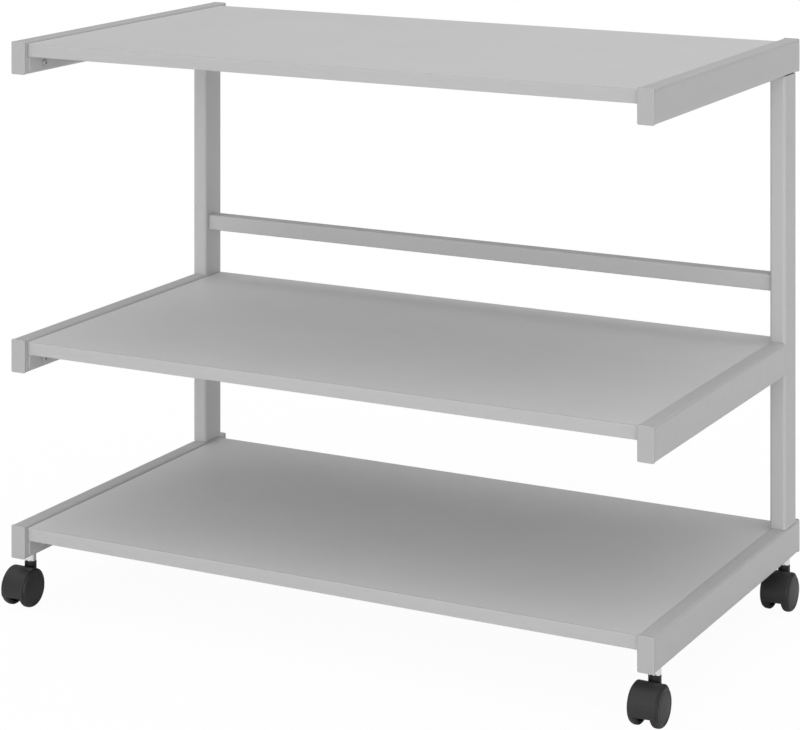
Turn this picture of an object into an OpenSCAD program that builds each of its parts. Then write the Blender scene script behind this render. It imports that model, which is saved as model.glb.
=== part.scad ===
// Mobile printer stand: two cantilever side frames of rectangular steel tube,
// three laminated boards, a rear brace and four twin-wheel swivel casters.
// Millimetres, +Z up, front towards -Y, left towards -X, floor at Z = 0.

/* [Overall size] */
// Width over the outer faces of the two side frames
stand_w = 901; // [700:1:1200]
// Length of the top and bottom arms, end caps included
arm_l = 501; // [440:1:600]
// Height of the top arms' upper face above the floor
stand_h = 736; // [680:1:900]
// Height of the middle arms' upper face above the floor
middle_h = 348; // [300:1:379]

/* [Steel tube] */
// Width of arms and posts, side to side
tube_w = 21.5; // [20:0.5:26]
// Height of an arm
arm_h = 43; // [42:1:50]
// Depth of a post, front to back
post_d = 43; // [32:0.5:50]
// Distance from the arms' back ends to the posts' back faces
post_back = 12.5; // [8:0.5:30]
// Wall thickness
wall = 1.5; // [1.2:0.1:2]
// Outer corner radius of arms and posts
corner_r = 4; // [2:0.25:4.5]
// Thickness of an end cap's head
cap_t = 2.5; // [2:0.5:4]
// Corner radius of an end cap's head
cap_r = 2; // [1.5:0.25:4]
// Depth of an end cap's plug inside the tube
plug_l = 12; // [8:1:14]

/* [Rear brace] */
// Side of the square brace tube
brace_s = 21.5; // [16:0.5:26]
// Height of the brace's centre above the floor
brace_z = 422.5; // [400:0.5:560]
// Distance from the posts' front faces back to the brace
brace_set = 8.5; // [3:0.5:10]

/* [Boards] */
// Thickness of a board
board_t = 17; // [15:1:18]
// Gap between a board and the arm beside it
board_gap = 0.5; // [0.5:0.5:3]
// Depth of a board's upper face below the arms' upper face
board_drop = 3; // [1:0.5:4]
// Distance from the arms' front ends to the boards' front edges
board_inset = 6.5; // [3:0.5:12]
// Distance from the boards' back edges to the posts' back faces
board_back = 2.5; // [0:0.5:6]
// Thickness of the edging strips
edging_t = 2; // [1:0.5:3]

/* [Board brackets] */
// Length of a bracket along the arm
bracket_l = 66; // [50:1:68]
// Length cut off the board flange at a bracket's outer end
bracket_cut = 16; // [4:1:16]
// Thickness of the bracket's steel
bracket_t = 2; // [1.5:0.5:2.5]
// Distance from the arms' front ends to the front brackets' centres
bracket_front = 41; // [40:1:60]
// Distance from the posts' back faces to the rear brackets' centres
bracket_rear = 76; // [62:1:90]
// Depth of the bracket bolts below the boards' undersides
bolt_drop = 11.5; // [11.5:0.5:13]

/* [Casters] */
// Diameter of the wheels
wheel_d = 48; // [48:1:52]
// Distance over a caster's two wheels
wheel_pair_w = 40; // [38:0.5:42]
// Distance from the swivel axis to the wheel axle
trail = 17.2; // [17:0.2:20]
// Distance from the arms' front ends to the front swivel axes
stem_front = 28; // [26:1:40]
// Distance from the arms' back ends to the rear swivel axes
stem_rear = 30; // [25:1:40]
// Height of the arms' undersides above the floor
ride_h = 63; // [62:1:68]
// Diameter of the stem's collar
collar_d = 15; // [13:0.5:15.5]

/* [Hidden] */

$fn = 64;
frame_grey = [0.70, 0.70, 0.70];
board_grey = [0.74, 0.74, 0.74];
caster_black = [0.10, 0.10, 0.10];
zinc = [0.78, 0.78, 0.80];
chrome = [0.85, 0.85, 0.87];

// Side: sign of X. End: index into a [front, rear] pair. Wheel: sign relative to the side.
left = -1;
right = 1;
front = 0;
rear = 1;
outer = 1;
inner = -1;

over = 1;                      // how far a cutter runs past the face it cuts

// Places along Y. The front casters stand further forward than the arms, and Y = 0
// is halfway between the foremost and the rearmost point.
wheel_r = wheel_d / 2;
hood_r = wheel_r + 1.3;        // outer radius of a caster's hood
hood_front = stem_front - trail - hood_r;
front_y = -(hood_front + arm_l) / 2;
back_y = front_y + arm_l;
post_rear_y = back_y - post_back;
post_front_y = post_rear_y - post_d;
brace_y = post_front_y + min(brace_set, post_d - brace_s - 1) + brace_s / 2;
board_front_y = front_y + board_inset;
board_rear_y = post_rear_y - board_back;
bracket_ys = [front_y + bracket_front, post_rear_y - bracket_rear];
stem_ys = [front_y + stem_front, back_y - stem_rear];

// Places along X and Z
arm_x = stand_w / 2 - tube_w / 2;
inner_x = stand_w / 2 - tube_w;
board_w = 2 * (inner_x - board_gap);
bottom_h = ride_h + arm_h;     // height of the bottom arms' upper face
arm_tops = [bottom_h, middle_h, stand_h];

// Frame details
brace_corner_r = 2;
cap_chamfer = 0.6;
plug_t = 2;                    // wall of an end cap's plug
plug_gap = 0.15;               // gap between the plug and the tube around it

// Bracket and fastener sizes
board_flange = 24;
wall_flange = 20.5;
bend_r = 3;                    // outer radius of the bracket's bend
bolt_r = 2.5;
bolt_hole_r = 2.65;
bolt_l = 6.5;                  // length of the shank behind the arm's inner face
bolt_head_r = 4.75;
bolt_rim = 1.3;                // height of the head's straight rim
nut_t = 4;
screw_r = 1.75;
screw_head_r = 3.5;
screw_shank = 9;               // height of the straight shank above the board's underside
screw_x = 14;                  // distance from the arm to the screws
screw_ys = [0, bracket_l / 2 - 9];

// Caster stem and socket, turned about the swivel axis
stud_r = 5;
stud_h = 13;                   // straight part of the stud above the arm's lower wall
bush_r = 7.5;
bush_h = 12;
bush_foot = min(bush_r - 0.5, tube_w / 2 - corner_r - 0.05);
collar_r = collar_d / 2;
collar_chamfer = 0.7;
pin_r = 4;
pin_end = wheel_r + 5;
pin_chamfer = 0.8;             // also the depth of the ring's groove
ring_z = pin_end + 5;
ring_t = 1;

// Caster hood
web_w = 11.8;                  // width of the web between the wheels
web_disc_r = 16;               // radius of the web's full disc round the axle
hood_w = wheel_pair_w - 7;     // width over the wheels
hood_t = 1;                    // thickness of the shell
hood_low = 19.5;               // reach below the axle's level at the front, in degrees
neck_d = 15.6;
neck_top = ride_h - 9.5;
neck_low = wheel_r + 4;

// Axle and wheels; distances across are from the caster's middle plane
axle_r = 3;
axle_half = wheel_pair_w / 2 - 3.5;
axle_chamfer = 0.5;
groove_x = axle_half - 4;      // centre of the groove that holds a wheel
hub_in = 6.2;                  // inner face of a wheel
hub_r = 6.5;
tread_in = 8;                  // inner edge of a wheel's tread
tread_t = 4.6;                 // thickness of the tread band
tread_edge_r = 3.9;

// ---- profiles ----

// Rectangle centred on the origin with rounded corners
module rounded(width, height, radius) {
    difference() {
        square([width, height], center = true);
        for (sx = [-1, 1], sy = [-1, 1])
            translate([sx * (width / 2 - radius), sy * (height / 2 - radius)])
                difference() {
                    translate([sx * (radius + over) / 2, sy * (radius + over) / 2])
                        square([radius + over, radius + over], center = true);
                    circle(radius);
                }
    }
}

// Tube section
module tube_section(width, height, radius, thickness) {
    difference() {
        rounded(width, height, radius);
        rounded(width - 2 * thickness, height - 2 * thickness, max(radius - thickness, 0.5));
    }
}

// Bar between two Y places; the section's first axis lies along X and its second along Z
module along_y(from_y, to_y) {
    translate([0, to_y, 0]) rotate([90, 0, 0]) linear_extrude(to_y - from_y) children();
}

// ---- side frames ----

module post(side) {
    color(frame_grey)
    translate([side * arm_x, (post_front_y + post_rear_y) / 2, bottom_h])
        linear_extrude(stand_h - arm_h - bottom_h) tube_section(tube_w, post_d, corner_r, wall);
}

// Arm whose upper face is at top_z, drilled for the bracket bolts and, if asked, the stems
module arm(side, top_z, end_y = back_y - cap_t, stem_holes = false) {
    color(frame_grey)
    difference() {
        translate([side * arm_x, 0, top_z - arm_h / 2])
            along_y(front_y + cap_t, end_y) tube_section(tube_w, arm_h, corner_r, wall);
        for (y = bracket_ys)
            translate([side * inner_x, y, underside(top_z) - bolt_drop])
                rotate([0, 90, 0]) cylinder(r = bolt_hole_r, h = 4 * wall, center = true);
        if (stem_holes)
            for (y = stem_ys)
                translate([side * arm_x, y, top_z - arm_h])
                    cylinder(r = stud_r + 0.2, h = 4 * wall, center = true);
    }
}

// End cap of the arm whose upper face is at top_z, modelled with its outer face at Y = 0
module end_cap(side, top_z, end) {
    c = cap_chamfer;
    half_w = tube_w / 2;
    half_h = arm_h / 2;
    plug_inset = 2 * (wall + plug_gap);
    color(frame_grey)
    translate([side * arm_x, [front_y, back_y][end], top_z - half_h])
    scale([1, 2 * end - 1, 1]) {
        // head, its outer edges chamfered
        intersection() {
            along_y(-cap_t, 0) rounded(tube_w, arm_h, cap_r);
            translate([0, 0, -arm_h]) linear_extrude(2 * arm_h)
                polygon([
                    [-half_w - over, -cap_t - over], [half_w + over, -cap_t - over],
                    [half_w + over, -c - over], [half_w - c, 0],
                    [-half_w + c, 0], [-half_w - over, -c - over]]);
            rotate([90, 0, 90]) translate([0, 0, -tube_w]) linear_extrude(2 * tube_w)
                polygon([
                    [-cap_t - over, -half_h - over], [-c - over, -half_h - over],
                    [0, -half_h + c], [0, half_h - c],
                    [-c - over, half_h + over], [-cap_t - over, half_h + over]]);
        }
        // hollow plug inside the tube
        along_y(-cap_t - plug_l, -cap_t)
            tube_section(tube_w - plug_inset, arm_h - plug_inset,
                         max(corner_r - wall - plug_gap, 0.8), plug_t);
    }
}

module brace() {
    color(frame_grey)
    translate([-inner_x, brace_y, brace_z])
        rotate([90, 0, 90]) linear_extrude(2 * inner_x)
            tube_section(brace_s, brace_s, brace_corner_r, wall);
}

// ---- boards ----

// Height of the underside of the board between arms whose upper face is at top_z
function underside(top_z) = top_z - board_drop - board_t;

// Board without its edging, drilled for the bracket screws
module board(top_z) {
    color(board_grey)
    difference() {
        translate([-board_w / 2, board_front_y + edging_t, underside(top_z)])
            cube([board_w, board_rear_y - board_front_y - 2 * edging_t, board_t]);
        screw_places() translate([0, 0, underside(top_z) - over])
            cylinder(r = screw_r + 0.02, h = 12.2 + over);
    }
}

module edging(top_z, end) {
    color(board_grey)
    translate([-board_w / 2, [board_front_y, board_rear_y - edging_t][end], underside(top_z)])
        cube([board_w, edging_t, board_t]);
}

// ---- brackets and fasteners ----

// Children at each of the four brackets: the arm's inner face at X = 0, the board
// towards +X and the bracket's outer end towards -Y
module bracket_places() {
    for (side = [left, right], end = [front, rear])
        translate([side * inner_x, bracket_ys[end], 0]) scale([-side, 1 - 2 * end, 1]) children();
}

// Children at the screws of all four brackets
module screw_places() {
    bracket_places() for (y = screw_ys) translate([screw_x, y, 0]) children();
}

// Children at the bolts of all three levels, +Z along the bolt away from the arm,
// starting at_x from the arm's inner face
module bolt_places(at_x) {
    for (z = arm_tops) bracket_places()
        translate([at_x, 0, underside(z) - bolt_drop]) rotate([0, 90, 0]) children();
}

// L brackets under one board
module brackets(top_z) {
    color(frame_grey)
    bracket_places() translate([0, 0, underside(top_z)]) difference() {
        along_y(-bracket_l / 2, bracket_l / 2) difference() {
            translate([0, -wall_flange]) square([board_flange, wall_flange]);
            translate([bracket_t, -22]) square([30, 22 - bracket_t]);
            difference() {
                translate([-over, -bend_r]) square([bend_r + over, bend_r + over]);
                translate([bend_r, -bend_r]) circle(bend_r);
            }
        }
        translate([0, 0, -bolt_drop]) rotate([0, 90, 0])
            cylinder(r = bolt_hole_r, h = 10, center = true);
        for (y = screw_ys) translate([screw_x, y, 0]) cylinder(r = 2.1, h = 10, center = true);
        translate([bend_r, -bracket_l / 2 - over, -5]) cube([30, bracket_cut + over, 10]);
    }
}

// Button-head screws with a hexagon socket
module bolts() {
    color(zinc)
    bolt_places(0) difference() {
        union() {
            translate([0, 0, -bolt_l]) cylinder(r = bolt_r, h = bolt_l + bracket_t + 0.2);
            translate([0, 0, bracket_t]) cylinder(r = bolt_head_r, h = bolt_rim);
            translate([0, 0, bracket_t + bolt_rim]) cylinder(r1 = bolt_head_r, r2 = 3, h = 1.4);
        }
        translate([0, 0, bracket_t + 1.1]) cylinder(r = 1.75, h = 3, $fn = 6);
    }
}

// Hexagon nuts welded inside the arms
module nuts() {
    color(zinc)
    bolt_places(-wall - nut_t) difference() {
        cylinder(r = 4.6, h = nut_t, $fn = 6);
        translate([0, 0, -over]) cylinder(r = bolt_r + 0.02, h = nut_t + 2 * over);
    }
}

// Pan-head wood screws with a cross recess
module wood_screws() {
    rim = 1.2;
    crown = 1;
    head_z = -bracket_t - rim - crown;
    color(zinc)
    for (z = arm_tops) screw_places() translate([0, 0, underside(z)])
        difference() {
            union() {
                translate([0, 0, -bracket_t - 0.2])
                    cylinder(r = screw_r, h = bracket_t + 0.2 + screw_shank);
                translate([0, 0, screw_shank]) cylinder(r1 = screw_r, r2 = 0.4, h = 2.6);
                translate([0, 0, -bracket_t - rim]) cylinder(r = screw_head_r, h = rim);
                translate([0, 0, head_z]) cylinder(r1 = 2.4, r2 = screw_head_r, h = crown);
            }
            for (angle = [0, 90])
                translate([0, 0, head_z]) rotate([0, 0, angle]) cube([3.6, 0.8, 2], center = true);
        }
}

// ---- casters ----

// Children at the floor point under one swivel axis
module caster_at(side, end) {
    translate([side * arm_x, stem_ys[end], 0]) children();
}

// Children at all four casters
module each_caster() {
    for (side = [left, right], end = [front, rear]) caster_at(side, end) children();
}

// Children at the axle's centre, in front of the swivel axis
module at_axle() {
    translate([0, -trail, wheel_r]) children();
}

// Threaded bushes welded on the arms' lower walls
module sockets() {
    bore_r = stud_r + 0.03;
    color(zinc)
    each_caster() translate([0, 0, ride_h + wall]) rotate_extrude() polygon([
        [bore_r, 0], [bush_foot, 0], [bush_r, bush_r - bush_foot],
        [bush_r, bush_h], [bore_r, bush_h]]);
}

// Stud, collar and swivel pin, turned in one piece; points are [radius, height]
module stem(side, end) {
    groove_r = pin_r - pin_chamfer;
    groove_low = ring_z - 0.1;
    groove_top = ring_z + ring_t + 0.1;
    collar_low = neck_top + 0.1;
    stud_top = ride_h + wall + stud_h;
    color(chrome)
    caster_at(side, end) rotate_extrude() polygon([
        [0, pin_end], [pin_r - pin_chamfer, pin_end], [pin_r, pin_end + pin_chamfer],
        [pin_r, groove_low], [groove_r, groove_low], [groove_r, groove_top], [pin_r, groove_top],
        [pin_r, collar_low], [collar_r - collar_chamfer, collar_low],
        [collar_r, collar_low + collar_chamfer], [collar_r, ride_h - collar_chamfer],
        [collar_r - collar_chamfer, ride_h], [stud_r, ride_h],
        [stud_r, stud_top], [stud_r - 0.8, stud_top + 0.8], [0, stud_top + 0.8]]);
}

// Split rings in the stems' grooves, which keep the hoods on
module rings() {
    color(zinc)
    each_caster() translate([0, 0, ring_z]) difference() {
        cylinder(r = pin_r + 0.8, h = ring_t);
        translate([0, 0, -over]) cylinder(r = pin_r - 0.75, h = ring_t + 2 * over);
        translate([pin_r, 0, ring_t / 2]) cube([4, 1.2, ring_t + 2 * over], center = true);
    }
}

// Cylinder along X, centred on the origin
module across(radius, width) {
    rotate([0, 90, 0]) cylinder(r = radius, h = width, center = true);
}

// Everything the hood covers: from low at the front, over the top, to the axle's level behind
module hood_sector(width) {
    reach = 60;
    rotate([90, 0, 90]) translate([0, 0, -width / 2]) linear_extrude(width)
        polygon([
            [0, 0], [-reach * cos(hood_low), -reach * sin(hood_low)],
            [-reach, reach], [reach, reach], [reach, 0]]);
}

module hood(side, end) {
    inside_r = hood_r - hood_t;
    color(caster_black)
    caster_at(side, end) difference() {
        union() {
            at_axle() {
                // shell over both wheels
                intersection() {
                    difference() {
                        across(hood_r, hood_w);
                        across(inside_r, hood_w + 2 * over);
                    }
                    hood_sector(hood_w);
                }
                // web between the wheels
                intersection() {
                    across(hood_r - 0.5, web_w);
                    union() {
                        hood_sector(web_w);
                        across(web_disc_r, web_w);
                    }
                }
            }
            // neck, clear of the wheels below it
            difference() {
                translate([0, 0, neck_low]) cylinder(r = neck_d / 2, h = neck_top - neck_low);
                at_axle() difference() {
                    across(inside_r, hood_w);
                    across(hood_r, web_w);
                }
            }
        }
        // bore for the swivel pin, with the ring's groove
        translate([0, 0, pin_end - over]) cylinder(r = pin_r + 0.06, h = 40);
        translate([0, 0, ring_z - 0.15]) cylinder(r = pin_r + 0.95, h = ring_t + 0.3);
        // bore for the axle
        at_axle() across(axle_r + 0.01, web_w + 2 * over);
    }
}

// Axle with a groove for each wheel; points are [radius, distance across]
module axle(side, end) {
    groove_r = axle_r - 0.35;
    groove_in = groove_x - 0.5;
    groove_out = groove_x + 0.5;
    tip_r = axle_r - axle_chamfer;
    shoulder_x = axle_half - axle_chamfer;
    color(zinc)
    caster_at(side, end) at_axle() rotate([0, 90, 0]) rotate_extrude() polygon([
        [0, -axle_half], [tip_r, -axle_half], [axle_r, -shoulder_x],
        [axle_r, -groove_out], [groove_r, -groove_out], [groove_r, -groove_in], [axle_r, -groove_in],
        [axle_r, groove_in], [groove_r, groove_in], [groove_r, groove_out], [axle_r, groove_out],
        [axle_r, shoulder_x], [tip_r, axle_half], [0, axle_half]]);
}

// Arc of an ellipse from one angle to another, as points
function oval(cx, cy, rx, ry, from, to, steps) = [
    for (i = [0:steps])
        let (angle = from + (to - from) * i / steps)
        [cx + rx * cos(angle), cy + ry * sin(angle)]];

// Wheel: a tread band, a rounded shoulder and a slightly domed face with a ring line.
// place is outer or inner; points are [radius, distance across].
module wheel(side, end, place) {
    half = wheel_pair_w / 2;
    bore_r = axle_r + 0.05;
    rib_r = axle_r - 0.28;
    rib_half = 0.3;
    color(caster_black)
    caster_at(side, end) at_axle() scale([side * place, 1, 1])
    rotate([0, 90, 0]) rotate_extrude() polygon(concat(
        // blind bore, with the rib that snaps into the axle's groove
        [[bore_r, hub_in], [bore_r, groove_x - rib_half], [rib_r, groove_x - rib_half],
         [rib_r, groove_x + rib_half], [bore_r, groove_x + rib_half],
         [bore_r, axle_half + 0.5], [0, axle_half + 0.5]],
        // domed face
        [[0, half], [wheel_r * 0.29, half - 0.08], [wheel_r * 0.5, half - 0.22]],
        // ring line
        [[wheel_r - 7.3, half - 0.42], [wheel_r - 6.9, half - 0.8],
         [wheel_r - 6.3, half - 0.8], [wheel_r - 5.9, half - 0.5]],
        // rounded shoulder and the tread's inner edge
        oval(wheel_r - 4, half - 6.5, 4, 6, 90, 0, 8),
        oval(wheel_r - tread_edge_r, tread_in + tread_edge_r,
             tread_edge_r, tread_edge_r, 0, -90, 5),
        // hollow behind the face
        [[wheel_r - tread_t, tread_in], [wheel_r - tread_t, half - 8],
         [wheel_r - tread_t - 3, half - 4.6], [hub_r, half - 4.2], [hub_r, hub_in]]));
}

// ---- the stand ----

post(left);  // left_post
post(right);  // right_post
arm(left, stand_h);  // left_top_arm
arm(right, stand_h);  // right_top_arm
arm(left, middle_h, end_y = post_front_y);  // left_middle_arm
arm(right, middle_h, end_y = post_front_y);  // right_middle_arm
arm(left, bottom_h, stem_holes = true);  // left_bottom_arm
arm(right, bottom_h, stem_holes = true);  // right_bottom_arm
end_cap(left, stand_h, front);  // left_top_front_cap
end_cap(right, stand_h, front);  // right_top_front_cap
end_cap(left, middle_h, front);  // left_middle_front_cap
end_cap(right, middle_h, front);  // right_middle_front_cap
end_cap(left, bottom_h, front);  // left_bottom_front_cap
end_cap(right, bottom_h, front);  // right_bottom_front_cap
end_cap(left, stand_h, rear);  // left_top_rear_cap
end_cap(right, stand_h, rear);  // right_top_rear_cap
end_cap(left, bottom_h, rear);  // left_bottom_rear_cap
end_cap(right, bottom_h, rear);  // right_bottom_rear_cap
brace();  // rear_brace
board(stand_h);  // top_board
board(middle_h);  // middle_board
board(bottom_h);  // bottom_board
edging(stand_h, front);  // top_front_edging
edging(middle_h, front);  // middle_front_edging
edging(bottom_h, front);  // bottom_front_edging
edging(stand_h, rear);  // top_rear_edging
edging(middle_h, rear);  // middle_rear_edging
edging(bottom_h, rear);  // bottom_rear_edging
brackets(stand_h);  // top_brackets
brackets(middle_h);  // middle_brackets
brackets(bottom_h);  // bottom_brackets
bolts();  // bracket_bolts
nuts();  // bracket_nuts
wood_screws();  // board_screws
sockets();  // caster_sockets
rings();  // stem_rings
stem(left, front);  // front_left_stem
stem(right, front);  // front_right_stem
stem(left, rear);  // rear_left_stem
stem(right, rear);  // rear_right_stem
hood(left, front);  // front_left_hood
hood(right, front);  // front_right_hood
hood(left, rear);  // rear_left_hood
hood(right, rear);  // rear_right_hood
axle(left, front);  // front_left_axle
axle(right, front);  // front_right_axle
axle(left, rear);  // rear_left_axle
axle(right, rear);  // rear_right_axle
wheel(left, front, outer);  // front_left_outer_wheel
wheel(right, front, outer);  // front_right_outer_wheel
wheel(left, rear, outer);  // rear_left_outer_wheel
wheel(right, rear, outer);  // rear_right_outer_wheel
wheel(left, front, inner);  // front_left_inner_wheel
wheel(right, front, inner);  // front_right_inner_wheel
wheel(left, rear, inner);  // rear_left_inner_wheel
wheel(right, rear, inner);  // rear_right_inner_wheel
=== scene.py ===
import math

import bmesh
import bpy
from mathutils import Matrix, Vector


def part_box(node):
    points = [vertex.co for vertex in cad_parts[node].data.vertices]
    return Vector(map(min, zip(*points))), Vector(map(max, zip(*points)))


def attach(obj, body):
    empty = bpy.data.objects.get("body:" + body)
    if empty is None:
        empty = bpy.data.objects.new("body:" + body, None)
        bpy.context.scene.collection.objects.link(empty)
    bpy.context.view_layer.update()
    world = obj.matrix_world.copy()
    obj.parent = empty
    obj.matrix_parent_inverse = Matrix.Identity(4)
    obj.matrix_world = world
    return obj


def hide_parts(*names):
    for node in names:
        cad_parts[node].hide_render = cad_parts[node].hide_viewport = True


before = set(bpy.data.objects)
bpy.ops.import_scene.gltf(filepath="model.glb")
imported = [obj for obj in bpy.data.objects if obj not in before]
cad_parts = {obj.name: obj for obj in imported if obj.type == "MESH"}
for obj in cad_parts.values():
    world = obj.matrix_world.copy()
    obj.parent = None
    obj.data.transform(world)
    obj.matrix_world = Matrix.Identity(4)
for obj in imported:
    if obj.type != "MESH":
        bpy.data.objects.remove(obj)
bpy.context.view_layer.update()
scene = bpy.context.scene
MM = 0.001


def box_mm(node):
    lo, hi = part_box(node)
    return [c * 1000 for c in lo], [c * 1000 for c in hi]


# ---------------------------------------------------------------- materials

class Graph:
    """A material's or world's node tree, built by naming node types and their inputs."""

    def __init__(self, tree):
        self.tree = tree
        tree.nodes.clear()

    def add(self, kind, settings=None, **inputs):
        node = self.tree.nodes.new(kind)
        for key, value in (settings or {}).items():
            setattr(node, key, value)
        for key, value in inputs.items():
            socket = node.inputs[int(key[1:]) if key[0] == "i" and key[1:].isdigit() else key.replace("_", " ")]
            if isinstance(value, bpy.types.NodeSocket):
                self.tree.links.new(value, socket)
            else:
                socket.default_value = value
        return node

    def math(self, operation, a, b=0.0, clamp=False):
        return self.add("ShaderNodeMath", {"operation": operation, "use_clamp": clamp}, i0=a, i1=b).outputs[0]

    def noise(self, vector, scale, detail=2.0, roughness=0.5):
        return self.add("ShaderNodeTexNoise", None, Vector=vector, Scale=scale, Detail=detail, Roughness=roughness).outputs["Fac"]

    def span(self, value, low, high, from_low=0.3, from_high=0.7):
        node = self.add("ShaderNodeMapRange", {"clamp": True}, Value=value)
        node.inputs["From Min"].default_value, node.inputs["From Max"].default_value = from_low, from_high
        node.inputs["To Min"].default_value, node.inputs["To Max"].default_value = low, high
        return node.outputs["Result"]

    def grey(self, value):
        return self.add("ShaderNodeCombineColor", None, Red=value, Green=value, Blue=value).outputs[0]

    def stretched(self, vector, x, y, z):
        return self.add("ShaderNodeMapping", None, Vector=vector, Scale=(x, y, z)).outputs[0]


def edge_mask(g, radius, gain):
    """1 on edges that bend within radius, 0 on flats."""
    bevel = g.add("ShaderNodeBevel", {"samples": 4}, Radius=radius)
    flat = g.add("ShaderNodeNewGeometry").outputs["Normal"]
    dot = g.add("ShaderNodeVectorMath", {"operation": "DOT_PRODUCT"}, i0=bevel.outputs[0], i1=flat).outputs["Value"]
    return g.math("MULTIPLY", g.math("SUBTRACT", 1.0, dot, True), gain, True)


def crevice(g, distance):
    """Ambient occlusion: 1 in the open, towards 0 in tight corners; the mask for painted shade."""
    return g.add("ShaderNodeAmbientOcclusion", {"samples": 4, "only_local": False}, Distance=distance).outputs["AO"]


def surface(name, level, rough, metallic=0.0, mottle=0.012, mottle_scale=5.0, grain=0.01, grain_scale=900.0,
            bump=0.12, bump_scale=700.0, bump_depth=0.00004, edge_radius=0.0012, edge_gain=3.0, edge_lift=0.05,
            edge_rough=-0.06, corner_shade=0.06, corner_shade_distance=0.008, tint=(1.0, 1.0, 1.0), specular=0.5, coat=0.0,
            lengthwise=None, ior=1.5):
    """A finish whose colour, roughness and relief all vary: broad mottling, fine grain, worn edges, and painted shade
    that darkens the colour in corners and gaps.
    """
    material = bpy.data.materials.new(name)
    material.use_nodes = True
    g = Graph(material.node_tree)
    at = g.add("ShaderNodeTexCoord").outputs["Object"]
    broad = g.span(g.noise(at, mottle_scale, 3.0), -mottle, mottle)
    along = g.stretched(at, *lengthwise) if lengthwise else at
    fine = g.noise(along, grain_scale, 2.0, 0.6)
    grained = g.span(fine, -grain, grain)
    edge = edge_mask(g, edge_radius, edge_gain)
    worn_noise = g.span(g.noise(at, 160.0, 3.0), 0.25, 1.0)
    worn = g.math("MULTIPLY", edge, worn_noise)
    # painted shade: ambient occlusion darkens the colour in corners and gaps, where shade falls
    open_air = crevice(g, corner_shade_distance)
    shade = g.math("ADD", 1.0 - corner_shade, g.math("MULTIPLY", open_air, corner_shade))
    value = g.math("ADD", g.math("ADD", 1.0, broad), grained)
    value = g.math("ADD", value, g.math("MULTIPLY", worn, edge_lift))
    value = g.math("MULTIPLY", g.math("MULTIPLY", value, shade), level)
    colour = g.add("ShaderNodeCombineColor", None, Red=g.math("MULTIPLY", value, tint[0]),
                   Green=g.math("MULTIPLY", value, tint[1]), Blue=g.math("MULTIPLY", value, tint[2])).outputs[0]
    roughness = g.math("ADD", g.span(g.noise(at, 60.0, 4.0), rough - 0.03, rough + 0.03),
                       g.math("MULTIPLY", worn, edge_rough), True)
    relief = g.add("ShaderNodeBump", None, Strength=bump, Distance=bump_depth,
                   Height=g.noise(along, bump_scale, 3.0, 0.55)).outputs[0]
    shader = g.add("ShaderNodeBsdfPrincipled", None, Base_Color=colour, Roughness=roughness, Metallic=metallic, Normal=relief)
    shader.inputs["Specular IOR Level"].default_value = specular
    shader.inputs["IOR"].default_value = ior
    shader.inputs["Coat Weight"].default_value = coat
    shader.inputs["Coat Roughness"].default_value = 0.25
    g.add("ShaderNodeOutputMaterial", None, Surface=shader.outputs[0])
    return material


PAINT_LEVEL = 0.44
BOARD_LEVEL = 0.57
MATERIALS = {
    # satin powder coat: orange-peel relief about a millimetre and a half across
    "frame_paint": surface("frame_paint", PAINT_LEVEL, 0.44, bump=0.22, bump_scale=650.0, bump_depth=0.00005, grain=0.008),
    # the end caps are the same grey as the frame; their lower level is painted shade on the arms' well-lit front ends
    "cap_plastic": surface("cap_plastic", PAINT_LEVEL * 0.83, 0.5, bump=0.25, bump_scale=1800.0, bump_depth=0.00003,
                           edge_radius=0.0008),
    # melamine laminate: fine pearl texture, broad soft mottling
    "board_laminate": surface("board_laminate", BOARD_LEVEL, 0.40, mottle=0.014, mottle_scale=9.0, grain=0.02, grain_scale=1500.0,
                              bump=0.3, bump_scale=2200.0, bump_depth=0.00003, edge_radius=0.0006, edge_gain=2.0,
                              edge_lift=0.04, corner_shade=0.05, corner_shade_distance=0.006),
    "board_edging": surface("board_edging", BOARD_LEVEL * 0.70, 0.46, grain=0.02, grain_scale=500.0, bump=0.25, bump_scale=900.0,
                            bump_depth=0.00003, edge_radius=0.0007, lengthwise=(0.08, 1.0, 1.0), edge_lift=0.03),
    # on the caster mouldings a strong painted shade darkens the gaps between hood and wheels, standing in for the
    # shadow in them
    "caster_hood_plastic": surface("caster_hood_plastic", 0.021, 0.44, mottle=0.06, mottle_scale=60.0, grain=0.05,
                                   grain_scale=2600.0, bump=0.35, bump_scale=3000.0, bump_depth=0.00004,
                                   edge_radius=0.0006, edge_lift=0.5, corner_shade=0.8, corner_shade_distance=0.006, specular=0.32),
    "caster_wheel_plastic": surface("caster_wheel_plastic", 0.017, 0.43, mottle=0.07, mottle_scale=50.0, grain=0.04,
                                    grain_scale=1800.0, bump=0.25, bump_scale=2200.0, bump_depth=0.00003,
                                    edge_radius=0.0007, edge_lift=0.6, corner_shade=0.8, corner_shade_distance=0.005, specular=0.32),
    "caster_chrome": surface("caster_chrome", 0.80, 0.09, metallic=1.0, mottle=0.02, mottle_scale=90.0, grain=0.015,
                             grain_scale=900.0, bump=0.08, bump_scale=2500.0, bump_depth=0.00002, edge_radius=0.0004,
                             edge_lift=0.05, edge_rough=0.05, corner_shade=0.2, corner_shade_distance=0.003, lengthwise=(1.0, 1.0, 8.0)),
    "zinc_steel": surface("zinc_steel", 0.58, 0.28, metallic=1.0, mottle=0.06, mottle_scale=120.0, grain=0.05,
                          grain_scale=1200.0, bump=0.2, bump_scale=1600.0, bump_depth=0.00003, edge_radius=0.0004,
                          edge_lift=0.12, corner_shade=0.25, corner_shade_distance=0.003, tint=(0.99, 1.0, 1.01)),
}


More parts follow.
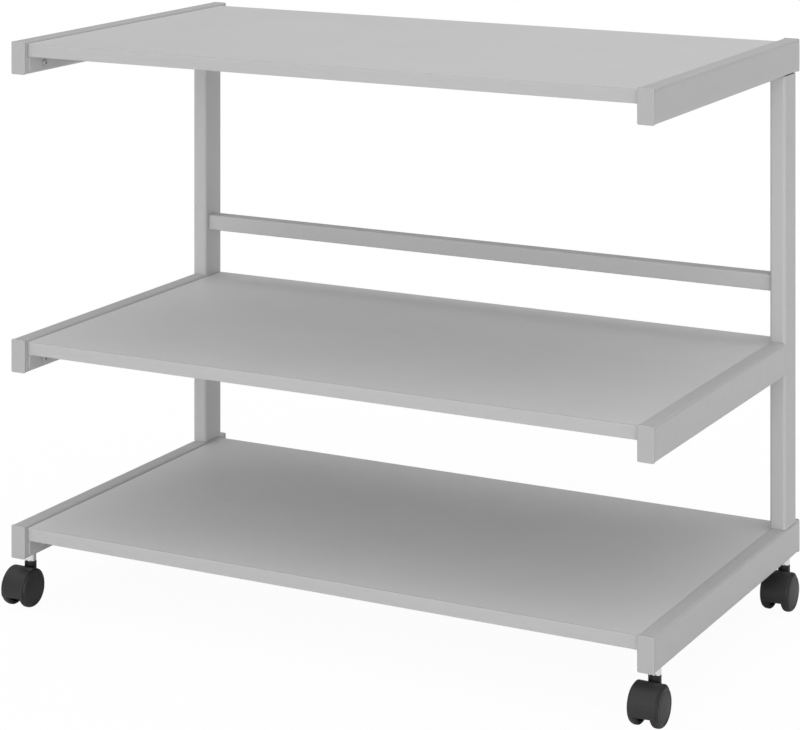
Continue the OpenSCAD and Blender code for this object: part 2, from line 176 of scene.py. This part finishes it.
# the bracket bolts are plated too, but dulled, and strongly darkened by painted shade where the board above crowds them
DULL_STEEL = surface("dull_steel", 0.42, 0.5, metallic=0.4, mottle=0.06, mottle_scale=120.0, grain=0.05, grain_scale=1200.0,
                     bump=0.2, bump_scale=1600.0, bump_depth=0.00003, edge_radius=0.0004, edge_lift=0.12, corner_shade=0.7,
                     corner_shade_distance=0.004)


# ---------------------------------------------------------------- mesh building, in millimetres

class Shell:
    """One or more closed meshes, made of rings of points joined by faces."""

    def __init__(self):
        self.points, self.faces = [], []

    def ring(self, points):
        first = len(self.points)
        self.points.extend(tuple(p) for p in points)
        return list(range(first, len(self.points)))

    def bridge(self, a, b):
        for i in range(len(a)):
            j = (i + 1) % len(a)
            self.faces.append((a[i], a[j], b[j], b[i]))

    def loft(self, rings, ends="fill"):
        made = [self.ring(r) for r in rings]
        for a, b in zip(made, made[1:]):
            self.bridge(a, b)
        if ends == "loop":
            self.bridge(made[-1], made[0])
        else:
            self.faces.append(tuple(reversed(made[0])))
            self.faces.append(tuple(made[-1]))
        return made

    def fan(self, ring, centre):
        """Closes a ring with triangles to a centre point."""
        c = len(self.points)
        self.points.append(tuple(centre))
        for i in range(len(ring)):
            self.faces.append((ring[i], ring[(i + 1) % len(ring)], c))

    def add(self, other, move=(0, 0, 0), mirror_x=False, mirror_y=False):
        first = len(self.points)
        s, t = -1 if mirror_x else 1, -1 if mirror_y else 1
        self.points.extend((s * x + move[0], t * y + move[1], z + move[2]) for x, y, z in other.points)
        for f in other.faces:
            f = tuple(i + first for i in f)
            self.faces.append(tuple(reversed(f)) if mirror_x != mirror_y else f)


def rounded(w, h, r, steps=6):
    """Rectangle w by h about the origin, its four corners rounded by r, or by a radius each from the +u+v corner round."""
    rs = r if isinstance(r, (list, tuple)) else [r] * 4
    points = []
    for (su, sv), radius, start in zip(((1, 1), (-1, 1), (-1, -1), (1, -1)), rs, (0, 90, 180, 270)):
        radius = max(radius, 0.02)
        cu, cv = su * (w / 2 - radius), sv * (h / 2 - radius)
        for k in range(steps + 1):
            a = math.radians(start + 90 * k / steps)
            points.append((cu + radius * math.cos(a), cv + radius * math.sin(a)))
    return points


def inset(w, h, r, by, steps=6):
    rs = [max(x - by, 0.02) for x in (r if isinstance(r, (list, tuple)) else [r] * 4)]
    return rounded(w - 2 * by, h - 2 * by, rs, steps)


def finish_mesh(mesh, sharp):
    bm = bmesh.new()
    bm.from_mesh(mesh)
    bmesh.ops.remove_doubles(bm, verts=bm.verts, dist=2e-7)
    bmesh.ops.dissolve_degenerate(bm, edges=bm.edges, dist=1e-7)
    bmesh.ops.recalc_face_normals(bm, faces=bm.faces)
    bm.to_mesh(mesh)
    bm.free()
    for p in mesh.polygons:
        p.use_smooth = True
    mesh.set_sharp_from_angle(angle=math.radians(sharp))


def mesh_of(name, shell, sharp=50):
    mesh = bpy.data.meshes.new(name)
    mesh.from_pydata([(x * MM, y * MM, z * MM) for x, y, z in shell.points], [], shell.faces)
    mesh.validate()
    finish_mesh(mesh, sharp)
    return mesh


def put(name, mesh, body, slot, stands_for=(), at=(0, 0, 0)):
    """A finished piece: it rides on its body, takes its slot's finish, and hides the CAD nodes it stands for."""
    obj = bpy.data.objects.new(name, mesh)
    scene.collection.objects.link(obj)
    obj.location = [c * MM for c in at]
    if not mesh.materials:
        mesh.materials.append(MATERIALS[slot])
    weighted = obj.modifiers.new("even_normals", "WEIGHTED_NORMAL")
    weighted.keep_sharp = True
    weighted.weight = 60
    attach(obj, body)
    if stands_for:
        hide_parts(*stands_for)
    return obj


def ease_edges(mesh, width, sharp=40, segments=2, angle=50):
    """Rounds every edge of a mesh that bends by more than angle."""
    bm = bmesh.new()
    bm.from_mesh(mesh)
    edges = [e for e in bm.edges if len(e.link_faces) == 2 and e.calc_face_angle(0) > math.radians(angle)]
    bmesh.ops.bevel(bm, geom=edges, offset=width * MM, segments=segments, profile=0.5, affect="EDGES", clamp_overlap=True)
    bm.to_mesh(mesh)
    bm.free()
    finish_mesh(mesh, sharp)


# ---------------------------------------------------------------- tube frame

CORNER_R, CAP_R, WALL = 4.0, 2.0, 1.5


def tube(at, w, h, r, wall, t0, t1, ease=0.3):
    """Open rectangular tube with eased cut ends. at(u, v, t) places a section point."""
    def outer(i, t):
        return [at(u, v, t) for u, v in inset(w, h, r, i, 8)]

    def inner(i, t):
        return [at(u, v, t) for u, v in inset(w - 2 * wall, h - 2 * wall, r - wall, -i, 8)]
    shell = Shell()
    n = 6
    body = [outer(0, t0 + ease + (t1 - t0 - 2 * ease) * k / n) for k in range(n + 1)]
    shell.loft([outer(ease, t0), outer(ease * 0.3, t0 + ease * 0.3), *body, outer(ease * 0.3, t1 - ease * 0.3), outer(ease, t1),
                inner(0.1, t1), inner(0, t1 - 0.1), inner(0, t0 + 0.1), inner(0.1, t0)], "loop")
    return shell


def centre_size(node):
    lo, hi = box_mm(node)
    return [(a + b) / 2 for a, b in zip(lo, hi)], [b - a for a, b in zip(lo, hi)], lo, hi


for side in ("left", "right"):
    c, s, lo, hi = centre_size(f"{side}_post")
    put(f"{side}_post_tube", mesh_of(f"{side}_post_tube", tube(lambda u, v, t: (c[0] + u, c[1] + v, t), s[0], s[1],
                                                              CORNER_R, WALL, lo[2], hi[2])),
        "frame", "frame_paint", [f"{side}_post"])
    for level in ("top", "middle", "bottom"):
        c, s, lo, hi = centre_size(f"{side}_{level}_arm")
        put(f"{side}_{level}_arm_tube",
            mesh_of(f"{side}_{level}_arm_tube", tube(lambda u, v, t: (c[0] + u, t, c[2] + v), s[0], s[2], CORNER_R, WALL, lo[1], hi[1])),
            "frame", "frame_paint", [f"{side}_{level}_arm"])

c, s, lo, hi = centre_size("rear_brace")
put("rear_brace_tube", mesh_of("rear_brace_tube", tube(lambda u, v, t: (t, c[1] + u, c[2] + v), s[1], s[2], 2.0, WALL, lo[0], hi[0])),
    "frame", "frame_paint", ["rear_brace"])


def end_cap(at, w, h, r, wall, head, plug):
    """at(u, v, depth): depth 0 is the outer face. A head with rounded edges and a hollow plug behind it."""
    edge = 0.6

    def out(i, d):
        return [at(u, v, d) for u, v in inset(w, h, r, i, 8)]

    def inside(i, d):
        return [at(u, v, d) for u, v in inset(w, h, CORNER_R, i, 8)]
    shell = Shell()
    rings = [out(edge + 2.2, 0.0), out(edge + 0.4, 0.02)]
    for k in range(6):
        a = math.radians(90 * k / 5)
        rings.append(out(edge * (1 - math.sin(a)), 0.04 + edge * (1 - math.cos(a))))
    rings += [out(0, head - 0.3), out(0.08, head - 0.1), out(0.28, head)]
    fit = wall + 0.15
    rings += [inside(fit, head), inside(fit, head + plug - 0.9), inside(fit + 0.5, head + plug)]
    rings += [inside(fit + 1.6, head + plug), inside(fit + 2, head + plug - 0.4), inside(fit + 2, head + 0.6), inside(fit + 2.4, head + 0.3)]
    shell.loft(rings)
    return shell


for side in ("left", "right"):
    for level, end in (("top", "front"), ("middle", "front"), ("bottom", "front"), ("top", "rear"), ("bottom", "rear")):
        node = f"{side}_{level}_{end}_cap"
        c, s, lo, hi = centre_size(node)
        face, sign = (lo[1], 1) if end == "front" else (hi[1], -1)
        arm_lo, arm_hi = box_mm(f"{side}_{level}_arm")
        head = (arm_lo[1] - lo[1]) if end == "front" else (hi[1] - arm_hi[1])
        shell = end_cap(lambda u, v, d: (c[0] + u, face + sign * d, c[2] + v), s[0], s[2], CAP_R, WALL, head, s[1] - head)
        put(f"{node}_moulding", mesh_of(f"{node}_moulding", shell), "frame", "cap_plastic", [node])


# ---------------------------------------------------------------- boards

def bar(w, h, r, x0, x1, cy, cz, ease=0.3, steps=5, cuts=8):
    """Solid bar along X of section w (Y) by h (Z)."""
    shell = Shell()

    def sec(i, x):
        return [(x, cy + u, cz + v) for u, v in inset(w, h, r, i, steps)]
    rings = [sec(ease, x0), sec(ease * 0.3, x0 + ease * 0.3)]
    rings += [sec(0, x0 + ease + (x1 - x0 - 2 * ease) * k / cuts) for k in range(cuts + 1)]
    rings += [sec(ease * 0.3, x1 - ease * 0.3), sec(ease, x1)]
    shell.loft(rings)
    return shell


for level in ("top", "middle", "bottom"):
    c, s, lo, hi = centre_size(f"{level}_board")
    put(f"{level}_board_panel", mesh_of(f"{level}_board_panel", bar(s[1], s[2], 0.15, lo[0], hi[0], c[1], c[2], 0.2)),
        "frame", "board_laminate", [f"{level}_board"])
    for end in ("front", "rear"):
        c, s, lo, hi = centre_size(f"{level}_{end}_edging")
        # the outer long edges are rounded, and the edges against the board only eased
        radii = [0.12, 1.1, 1.1, 0.12] if end == "front" else [1.1, 0.12, 0.12, 1.1]
        put(f"{level}_{end}_edging_strip", mesh_of(f"{level}_{end}_edging_strip", bar(s[1], s[2], radii, lo[0], hi[0], c[1], c[2], 0.4)),
            "frame", "board_edging", [f"{level}_{end}_edging"])


# ---------------------------------------------------------------- brackets and screws

def bracket_shell(length, reach, drop, cut, t=2.0, bend=3.0):
    """Bent angle under a board: wall flange down from (0, 0), board flange along +X and cut back at the -Y end."""
    top, bottom, tips = [], [(bend + 0.3, -t)], [(reach, 0.0), (reach, -t)]
    for k in range(7):
        a = math.radians(180 - 90 * k / 6)
        top.append((bend + bend * math.cos(a), -bend + bend * math.sin(a)))
    top.append((bend + 0.3, 0.0))
    inner = max(bend - t, 0.6)
    for k in range(7):
        a = math.radians(90 + 90 * k / 6)
        bottom.append((t + inner + inner * math.cos(a), -t - inner + inner * math.sin(a)))
    bottom += [(t, -drop), (0.0, -drop)]

    shell = Shell()
    def ring(points, y):
        return shell.ring([(x, y, z) for x, z in points])
    n = len(top)
    first, second, step = ring(top + bottom, -length / 2), ring(top + bottom, cut - length / 2), ring(tips, cut - length / 2)
    third, fourth = ring(top + tips + bottom, cut / 2), ring(top + tips + bottom, length / 2)
    shell.bridge(first, second)
    shell.bridge(second[:n] + step + second[n:], third)
    shell.bridge(third, fourth)
    shell.faces += [tuple(reversed(first)), (second[n], step[1], step[0], second[n - 1]), tuple(fourth)]
    return shell


BOLTS_LO, BOLTS_HI = box_mm("bracket_bolts")
BRACKETS_LO, BRACKETS_HI = box_mm("bottom_brackets")
BOLT_DROP = BRACKETS_HI[2] - (BOLTS_LO[2] + 4.75)
BRACKET_YS = (BOLTS_LO[1] + 4.75, BOLTS_HI[1] - 4.75)
BRACKET_L = 2 * (BRACKET_YS[0] - BRACKETS_LO[1])
BRACKET_CUT = 16.0
SCREW_YS = (0.0, BRACKET_L / 2 - 9)


def bracket_mesh():
    shell = bracket_shell(BRACKET_L, 24.0, 20.5, BRACKET_CUT)
    mesh = mesh_of("bracket_blank", shell)
    bm = bmesh.new()
    bm.from_mesh(mesh)
    corners = []
    for e in bm.edges:
        a, b = (v.co / MM for v in e.verts)
        at_end = min(abs(abs(a.y) - BRACKET_L / 2), abs(a.y + BRACKET_L / 2 - BRACKET_CUT)) < 0.005 and abs(a.y - b.y) < 0.005
        tip_board = abs(a.x - 24) < 0.01 and abs(b.x - 24) < 0.01 and abs(a.z - b.z) > 1
        tip_wall = abs(a.z + 20.5) < 0.01 and abs(b.z + 20.5) < 0.01 and abs(a.x - b.x) > 1
        if at_end and (tip_board or tip_wall):
            corners.append(e)
    bmesh.ops.bevel(bm, geom=corners, offset=4 * MM, segments=6, profile=0.5, affect="EDGES")
    bm.to_mesh(mesh)
    bm.free()
    finish_mesh(mesh, 40)
    ease_edges(mesh, 0.25, 40, 2, 50)
    return mesh


def as_shell(mesh):
    shell = Shell()
    shell.points = [tuple(v.co / MM) for v in mesh.vertices]
    shell.faces = [tuple(p.vertices) for p in mesh.polygons]
    return shell


def turned(profile, n=48, shape=None):
    """Lathe about +Z. profile is [(radius, height, kind)]; kind 'hex' or 'cross' shapes that ring, else round. Closed by a fan at both ends."""
    shell = Shell()
    rings = []
    for r, z, *kind in profile:
        ring = []
        for k in range(n):
            a = 2 * math.pi * k / n
            radius = r
            if kind and kind[0] == "hex":
                radius = r / math.cos((a % (math.pi / 3)) - math.pi / 6)
            elif kind and kind[0] == "cross":
                b = (a + math.pi / 4) % (math.pi / 2) - math.pi / 4
                radius = min(r / math.cos(b), 0.42 / max(abs(math.sin(b)), 1e-6), r * 1.05)
            ring.append((radius * math.cos(a), radius * math.sin(a), z))
        rings.append(shell.ring(ring))
    for a, b in zip(rings, rings[1:]):
        shell.bridge(a, b)
    shell.fan(rings[0], (0, 0, profile[0][1]))
    shell.fan(rings[-1], (0, 0, profile[-1][1]))
    return shell


def turned_out(shell, axis):
    """The same shell with its own +Z along the named axis."""
    out = Shell()
    turn = {"+x": lambda x, y, z: (z, y, -x), "-z": lambda x, y, z: (x, -y, -z)}[axis]
    out.points = [turn(*p) for p in shell.points]
    out.faces = list(shell.faces)
    return out


# button head with a hexagon socket; height 0 is the arm's inner wall
button = turned([(2.0, -6.5), (2.5, -6.0), (2.5, 2.0), (4.6, 2.0), (4.75, 2.15), (4.75, 2.7), (4.62, 3.2), (4.3, 3.7), (3.8, 4.15),
                 (3.2, 4.5), (2.6, 4.68), (2.0, 4.72), (1.62, 4.7, "hex"), (1.5, 4.55, "hex"), (1.5, 3.2, "hex"), (0.6, 2.9)], 48)
button = turned_out(button, "+x")
# pan head wood screw pointing up; height is measured downwards from the bracket's underside
pan = turned([(0.3, -13.6), (0.9, -12.4), (1.6, -11.0), (1.75, -10.4), (1.75, -2.0), (1.75, 0.0), (3.3, 0.0), (3.5, 0.2), (3.5, 0.9), (3.35, 1.4),
              (3.0, 1.85), (2.5, 2.1), (2.0, 2.2), (1.8, 2.2, "cross"), (1.7, 2.1, "cross"), (1.3, 0.9, "cross"), (0.3, 0.7)], 48)
pan = turned_out(pan, "-z")

blank = as_shell(bracket_mesh())
bolts, screws = Shell(), Shell()
for level in ("top", "middle", "bottom"):
    c, s, lo, hi = centre_size(f"{level}_brackets")
    group = Shell()
    for x, flip in ((lo[0], False), (hi[0], True)):
        for y, rear in zip(BRACKET_YS, (False, True)):
            group.add(blank, (x, y, hi[2]), flip, rear)
            bolts.add(button, (x, y, hi[2] - BOLT_DROP), flip)
            for dy in SCREW_YS:
                screws.add(pan, (x + (-14 if flip else 14), y + (-dy if rear else dy), hi[2] - 2.0))
    put(f"{level}_bracket_angles", mesh_of(f"{level}_bracket_angles", group, 40), "frame", "frame_paint", [f"{level}_brackets"])
bolt_mesh = mesh_of("bracket_bolt_heads", bolts, 35)
bolt_mesh.materials.append(DULL_STEEL)
put("bracket_bolt_heads", bolt_mesh, "frame", "zinc_steel", ["bracket_bolts"])
put("board_screw_heads", mesh_of("board_screw_heads", screws, 35), "frame", "zinc_steel", ["board_screws"])


# ---------------------------------------------------------------- casters

# A caster is built about its own swivel axis, with the floor at height 0, and placed four times.
stem_lo, stem_hi = box_mm("front_left_stem")
hood_lo, hood_hi = box_mm("front_left_hood")
wheel_lo, wheel_hi = box_mm("front_left_inner_wheel")
SWIVEL = ((stem_lo[0] + stem_hi[0]) / 2, (stem_lo[1] + stem_hi[1]) / 2)
R = (wheel_hi[2] - wheel_lo[2]) / 2
AXLE_Y = (wheel_lo[1] + wheel_hi[1]) / 2 - SWIVEL[1]
HALF = wheel_hi[0] - SWIVEL[0]
NECK_TOP = hood_hi[2]
ARM_UNDER = box_mm("left_bottom_arm")[0][2]
HOOD_W, HOOD_R, HOOD_T, WEB = hood_hi[0] - hood_lo[0], R + 1.3, 1.0, 5.9
HUB_IN, TREAD_IN, NECK_R, COLLAR_R = 6.2, 8.0, 7.8, (stem_hi[0] - stem_lo[0]) / 2
PIN_FOOT = stem_lo[2]


def lathe_x(profile, n=112, closed_ends=False):
    """Lathe about the X axis through (0, AXLE_Y, R). profile is [(radius, x)], a closed loop in section."""
    shell = Shell()
    rings = []
    for r, x in profile:
        rings.append(shell.ring([(x, AXLE_Y + r * math.cos(2 * math.pi * k / n), R + r * math.sin(2 * math.pi * k / n)) for k in range(n)]))
    for a, b in zip(rings, rings[1:]):
        shell.bridge(a, b)
    if closed_ends:
        shell.fan(rings[0], (profile[0][1], AXLE_Y, R))
        shell.fan(rings[-1], (profile[-1][1], AXLE_Y, R))
    else:
        shell.bridge(rings[-1], rings[0])
    return shell


def arc(cr, cx, radius, a0, a1, n):
    return [(cr + radius * math.cos(math.radians(a0 + (a1 - a0) * k / n)), cx + radius * math.sin(math.radians(a0 + (a1 - a0) * k / n)))
            for k in range(n + 1)]


def wheel_shell():
    profile = [(0.6, HALF - 0.02)]
    # slightly domed face, ending in a ring line
    dome_r, sag = R - 7.2, 0.42
    for k in range(1, 13):
        r = dome_r * k / 12
        profile.append((r, HALF - 0.02 - sag * (r / dome_r) ** 2.2))
    edge = HALF - 0.02 - sag
    profile += [(dome_r + 0.2, edge - 0.06), (dome_r + 0.3, edge - 0.2), (dome_r + 0.36, edge - 0.42), (dome_r + 0.8, edge - 0.42),
                (dome_r + 0.95, edge - 0.3), (dome_r + 1.1, edge - 0.14), (dome_r + 1.4, HALF - 0.5), (dome_r + 2.2, HALF - 0.5)]
    # shoulder, tread, and the tread's inner edge
    for k in range(13):
        a = math.radians(90 - 90 * k / 12)
        profile.append((R - 4 + 4 * math.cos(a), HALF - 6.5 + 6 * math.sin(a)))
    profile += arc(R - 3.9, TREAD_IN + 3.9, 3.9, 0, -90, 10)
    # hollow behind the face, and the hub with its bore
    profile += [(R - 4.4, TREAD_IN), (R - 4.6, TREAD_IN + 0.3), (R - 4.6, HALF - 8), (R - 5.2, HALF - 6.6), (R - 7.6, HALF - 4.7), (8.0, HALF - 4.4),
                (6.9, HALF - 4.7), (6.5, HALF - 5.4), (6.5, HUB_IN + 0.4), (6.1, HUB_IN), (3.4, HUB_IN), (3.05, HUB_IN + 0.35),
                (3.05, HALF - 3.4), (2.6, HALF - 3.0), (0.6, HALF - 3.0)]
    return lathe_x(profile, 112, True)


WHEEL = mesh_of("caster_wheel", wheel_shell(), 38)
MIRRORED = Shell()
MIRRORED.add(wheel_shell(), mirror_x=True)
WHEEL_MIRRORED = mesh_of("caster_wheel_mirrored", MIRRORED, 38)


def boolean(mesh, other, operation):
    """mesh combined with other, exactly."""
    a, b = bpy.data.objects.new("bool_a", mesh), bpy.data.objects.new("bool_b", other)
    for o in (a, b):
        scene.collection.objects.link(o)
    m = a.modifiers.new("bool", "BOOLEAN")
    m.operation, m.solver, m.object = operation, "EXACT", b
    bpy.context.view_layer.update()
    out = bpy.data.meshes.new_from_object(a.evaluated_get(bpy.context.evaluated_depsgraph_get()))
    for o in (a, b):
        bpy.data.objects.remove(o)
    return out


def sector(theta):
    """Point on the YZ circle about the axle: 0 is rearwards, 90 up, 180 forwards."""
    return math.cos(math.radians(theta)), math.sin(math.radians(theta))


def hood_mesh():
    low = 199.5
    # shell over the wheels: a strip of section HOOD_W by HOOD_T bent round the axle, its ends rounded
    shell = Shell()

    def strip(theta, shrink):
        cy, cz = sector(theta)
        ring = []
        for u, v in inset(HOOD_W, HOOD_T, [0.45, 0.45, 0.2, 0.2], shrink, 4):
            r = HOOD_R - HOOD_T / 2 + v
            ring.append((u, AXLE_Y + r * cy, R + r * cz))
        return ring
    n = 64
    rings = [strip(0.0, 0.3), strip(0.35, 0.08)]
    rings += [strip(0.9 + (low - 1.8) * k / n, 0.0) for k in range(n + 1)]
    rings += [strip(low - 0.35, 0.08), strip(low, 0.3)]
    shell.loft(rings)
    shell_mesh = mesh_of("hood_strip", shell)
    # web between the wheels: reaches the shell over its whole sector, and a smaller disc below
    web = Shell()

    def outline(shrink, x):
        ring = []
        for k in range(144):
            theta = 360.0 * k / 144
            if theta <= low:
                r = HOOD_R - 0.5
            else:
                t = (theta - low) / (360 - low)
                drop = min(1.0, min(t, 1 - t) / 0.10)
                drop = drop * drop * (3 - 2 * drop)
                r = (HOOD_R - 0.5) + (16.0 - HOOD_R + 0.5) * drop
            cy, cz = sector(theta)
            ring.append((x, AXLE_Y + (r - shrink) * cy, R + (r - shrink) * cz))
        return ring
    web.loft([outline(0.5, -WEB), outline(0.15, -WEB + 0.15), outline(0.0, -WEB + 0.5), outline(0.0, WEB - 0.5), outline(0.15, WEB - 0.15), outline(0.5, WEB)])
    web_mesh = mesh_of("hood_web", web)
    # neck, clear of the wheels below it
    neck = Shell()
    rings = []
    for r, z in ((NECK_R, R + 4.0), (NECK_R, NECK_TOP - 3.0), (NECK_R, NECK_TOP - 0.6), (NECK_R - 0.1, NECK_TOP - 0.3), (NECK_R - 0.3, NECK_TOP - 0.08),
                 (NECK_R - 0.6, NECK_TOP)):
        rings.append([(r * math.cos(2 * math.pi * k / 64), r * math.sin(2 * math.pi * k / 64), z) for k in range(64)])
    neck.loft(rings)
    neck_mesh = mesh_of("hood_neck", neck)
    for s in (-1, 1):
        cut = lathe_x([(HOOD_R - HOOD_T, s * WEB), (HOOD_R - HOOD_T, s * (HOOD_W / 2 + 4))], 96, True)
        neck_mesh = boolean(neck_mesh, mesh_of("cut", cut), "DIFFERENCE")
    whole = boolean(web_mesh, shell_mesh, "UNION")
    whole = boolean(whole, neck_mesh, "UNION")
    # bores for the swivel pin, with its ring's groove, and for the axle
    pin = Shell()
    ring_z = PIN_FOOT + 5.0
    pin.loft([[(r * math.cos(2 * math.pi * k / 48), r * math.sin(2 * math.pi * k / 48), z) for k in range(48)]
              for r, z in ((4.06, PIN_FOOT - 1.0), (4.06, ring_z - 0.15), (4.95, ring_z - 0.14), (4.95, ring_z + 1.14), (4.06, ring_z + 1.15), (4.06, NECK_TOP + 5))])
    whole = boolean(whole, mesh_of("pin_bore", pin), "DIFFERENCE")
    whole = boolean(whole, mesh_of("axle_bore", lathe_x([(3.02, -9.0), (3.02, 9.0)], 48, True)), "DIFFERENCE")
    finish_mesh(whole, 38)
    whole.materials.clear()
    return whole


HOOD = hood_mesh()


def stem_mesh():
    """Plated stud with a plain collar, its edges eased, and the swivel pin with its ring's groove below."""
    top, foot, ring_z, c = ARM_UNDER, NECK_TOP + 0.1, PIN_FOOT + 5.0, COLLAR_R
    profile = [(3.2, PIN_FOOT), (4.0, PIN_FOOT + 0.8), (4.0, ring_z - 0.1), (3.2, ring_z - 0.09), (3.2, ring_z + 1.09), (4.0, ring_z + 1.1),
               (4.0, foot - 0.4), (4.4, foot), (c - 0.7, foot), (c - 0.3, foot + 0.12), (c - 0.08, foot + 0.35), (c, foot + 0.7), (c, (foot + top) / 2),
               (c, top - 0.7), (c - 0.08, top - 0.35), (c - 0.3, top - 0.12), (c - 0.7, top), (5.0, top)]
    z = top + 0.6
    while z < stem_hi[2] - 2.1:  # thread of the stud, as fine rings
        profile += [(5.0, z), (4.45, z + 0.45)]
        z += 0.9
    profile += [(4.9, stem_hi[2] - 1.0), (4.2, stem_hi[2])]
    return mesh_of("caster_stem", turned([(r, h) for r, h in profile], 64), 30)


STEM = stem_mesh()

for end in ("front", "rear"):
    for side in ("left", "right"):
        name = f"{end}_{side}"
        lo, hi = box_mm(f"{name}_stem")
        at = ((lo[0] + hi[0]) / 2, (lo[1] + hi[1]) / 2, 0.0)
        put(f"{name}_stud_and_collar", STEM, "frame", "caster_chrome", [f"{name}_stem"], at)
        put(f"{name}_hood_moulding", HOOD, f"{name}_caster", "caster_hood_plastic", [f"{name}_hood"], at)
        outward = WHEEL if side == "right" else WHEEL_MIRRORED
        inward = WHEEL_MIRRORED if side == "right" else WHEEL
        put(f"{name}_outer_wheel_moulding", outward, f"{name}_outer_wheel", "caster_wheel_plastic", [f"{name}_outer_wheel"], at)
        put(f"{name}_inner_wheel_moulding", inward, f"{name}_inner_wheel", "caster_wheel_plastic", [f"{name}_inner_wheel"], at)

# Hidden steel pieces keep their CAD shape and take the plated finish.
for name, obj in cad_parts.items():
    if not obj.hide_render:
        obj.data.materials.clear()
        obj.data.materials.append(MATERIALS["zinc_steel"])


# ---------------------------------------------------------------- floor, light and camera

FLOOR_LIFT, FLOOR_WHITE = 0.0, 0.96


def floor():
    mesh = bpy.data.meshes.new("studio_floor")
    n, radius = 64, 30.0
    ring = [(radius * math.cos(2 * math.pi * k / n), radius * math.sin(2 * math.pi * k / n), 0.0) for k in range(n)]
    mesh.from_pydata(ring, [], [tuple(range(n))])
    obj = bpy.data.objects.new("studio_floor", mesh)
    scene.collection.objects.link(obj)
    material = bpy.data.materials.new("studio_floor")
    material.use_nodes = True
    g = Graph(material.node_tree)
    at = g.add("ShaderNodeTexCoord").outputs["Object"]
    far = g.span(g.add("ShaderNodeVectorMath", {"operation": "LENGTH"}, i0=at).outputs["Value"], FLOOR_WHITE, 1.0, 0.7, 2.6)
    tone = g.grey(g.span(g.noise(at, 3.0, 3.0), 0.90, 0.915))
    near = g.add("ShaderNodeBsdfDiffuse", None, Color=tone)
    lift = g.add("ShaderNodeEmission", None, Color=(1, 1, 1, 1), Strength=FLOOR_LIFT)
    lit = g.add("ShaderNodeAddShader", None, i0=near.outputs[0], i1=lift.outputs[0])
    white = g.add("ShaderNodeEmission", None, Color=(1, 1, 1, 1), Strength=1.0)
    # the camera sees the floor almost overexposed, so only a trace of the stand's shadow is left on it
    to_white = g.math("MULTIPLY", far, g.add("ShaderNodeLightPath").outputs["Is Camera Ray"])
    mix = g.add("ShaderNodeMixShader", None, i0=to_white, i1=lit.outputs[0], i2=white.outputs[0])
    g.add("ShaderNodeOutputMaterial", None, Surface=mix.outputs[0])
    mesh.materials.append(material)


floor()

# Soft light from all round, with broad lobes (direction, sharpness, strength) that stand for large softboxes.
DOME = 0.06
LOBES = [
    ((0.0, 0.0, 1.0), 2.0, 0.72),
    ((0.0, 0.0, 1.0), 9.0, 0.76),
    ((0.0, -1.0, 0.03), 20.0, 2.7),
    ((0.5, -0.87, 0.03), 20.0, 5.0),
    ((0.0, -0.82, 0.57), 12.0, 2.0),
    ((-0.75, 0.0, 0.66), 5.0, 0.50),
    ((0.75, 0.0, 0.66), 5.0, 0.60),
    ((-0.2, 1.0, 0.12), 10.0, 0.27),
    ((-0.3, 1.0, 0.18), 25.0, 0.16),
]


def studio(dome, lobes):
    world = bpy.data.worlds.new("studio")
    scene.world = world
    world.use_nodes = True
    g = Graph(world.node_tree)
    way = g.add("ShaderNodeTexCoord").outputs["Generated"]
    level = g.math("ADD", dome, 0.0)
    for toward, sharpness, strength in lobes:
        facing = g.add("ShaderNodeVectorMath", {"operation": "DOT_PRODUCT"}, i0=way, i1=Vector(toward).normalized()).outputs["Value"]
        level = g.math("ADD", level, g.math("MULTIPLY", g.math("POWER", g.math("MAXIMUM", facing, 0.0), sharpness), strength))
    around = g.add("ShaderNodeBackground", None, Color=(1, 1, 1, 1), Strength=level)
    seen = g.add("ShaderNodeBackground", None, Color=(1, 1, 1, 1), Strength=1.0)
    ray = g.add("ShaderNodeLightPath").outputs["Is Camera Ray"]
    mix = g.add("ShaderNodeMixShader", None, i0=ray, i1=around.outputs[0], i2=seen.outputs[0])
    g.add("ShaderNodeOutputWorld", None, Surface=mix.outputs[0])


studio(DOME, LOBES)

# Camera: level, with the lens shifted down, as in architectural pictures, so that uprights stay parallel.
IMAGE_W, IMAGE_H = 800, 730
F_PX, CX, CY, AZIMUTH = 2685.43, 395.95, -308.26, math.radians(27.739)
camera = bpy.data.objects.new("camera", bpy.data.cameras.new("camera"))
scene.collection.objects.link(camera)
camera.data.sensor_width = 36.0
camera.data.sensor_fit = "HORIZONTAL"
camera.data.lens = F_PX * 36.0 / IMAGE_W
camera.data.clip_end = 200.0
camera.location = (1.6216, -3.10667, 1.19109)
camera.rotation_mode = "XYZ"
camera.rotation_euler = (math.radians(90), 0.0, AZIMUTH)
scene.camera = camera


def shift(path, amount):
    """The lens shift belongs to this camera position only: it is amount while the camera turns by Euler angles, and 0 otherwise."""
    curve = camera.data.driver_add(path)
    curve.driver.type = "AVERAGE"
    variable = curve.driver.variables.new()
    variable.name = "mode"
    variable.type = "SINGLE_PROP"
    variable.targets[0].id_type = "OBJECT"
    variable.targets[0].id = camera
    variable.targets[0].data_path = "rotation_mode"
    for m in list(curve.modifiers):
        curve.modifiers.remove(m)
    line = curve.modifiers.new("GENERATOR")
    line.coefficients = (0.0, amount)


shift("shift_x", (IMAGE_W / 2 - CX) / IMAGE_W)
shift("shift_y", (CY - IMAGE_H / 2) / IMAGE_W)

scene.view_settings.view_transform = "Standard"
scene.view_settings.look = "None"
